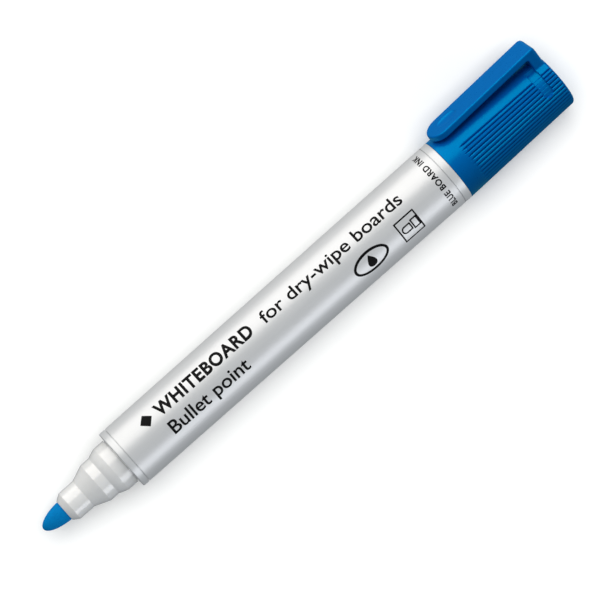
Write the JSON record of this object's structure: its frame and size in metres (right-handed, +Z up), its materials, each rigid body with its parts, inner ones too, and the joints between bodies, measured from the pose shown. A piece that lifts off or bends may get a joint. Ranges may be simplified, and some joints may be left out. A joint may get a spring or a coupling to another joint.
{
  "type": "felt tip marker",
  "caption": "Whiteboard felt tip marker with a bullet nib in a stepped holder, a film-labelled barrel, and a fluted push-on cap with a pocket clip, posted on its tail.",
  "frame": {"origin": "on the marker's axis at the barrel's front face, where the land that the cap rides on begins", "axes": "-X along the axis towards the nib, +X towards the cap's closed end, +Z up; the marker lies on its side with its clip at +Y, 29 degrees above the horizontal"},
  "size_m": [0.1546, 0.0197, 0.0167],
  "materials": {
    "barrel": "smooth moulded",
    "label": "silver film with black print, glossy",
    "holder": "natural polypropylene, satin",
    "nib": "blue-inked bonded fibre",
    "reservoir": "inked fibre bundle",
    "reservoir_film": "clear wrap",
    "plug": "smooth moulded",
    "liner": "natural polyethylene, satin",
    "cap": "blue moulded, satin"
  },
  "bodies": {
    "marker_body": {"barrel": "barrel", "barrel_label": "label", "nib_holder": "holder", "nib": "nib", "reservoir_core": "reservoir", "reservoir_film": "reservoir_film", "end_plug": "plug"},
    "cap_seal": {"cap_liner": "liner"},
    "cap": {"cap_shell": "cap"},
    "clip": {"cap_clip": "cap"}
  },
  "joints": [
    {"name": "cap_pull", "type": "slide", "parent": "marker_body", "child": "cap_seal", "axis": [1, 0, 0], "range_m": [0, 0.04]},
    {"name": "cap_twist", "type": "hinge", "parent": "cap_seal", "child": "cap", "pos_m": [0.1, 0, 0], "axis": [1, 0, 0], "continuous": true},
    {"name": "clip_flex", "type": "hinge", "parent": "cap", "child": "clip", "pos_m": [0.127, 0.00901, 0.00499], "axis": [0, 0.4848, -0.8746], "range_deg": [-0.5, 4], "stiffness_Nm_per_rad": 0.48}
  ]
}
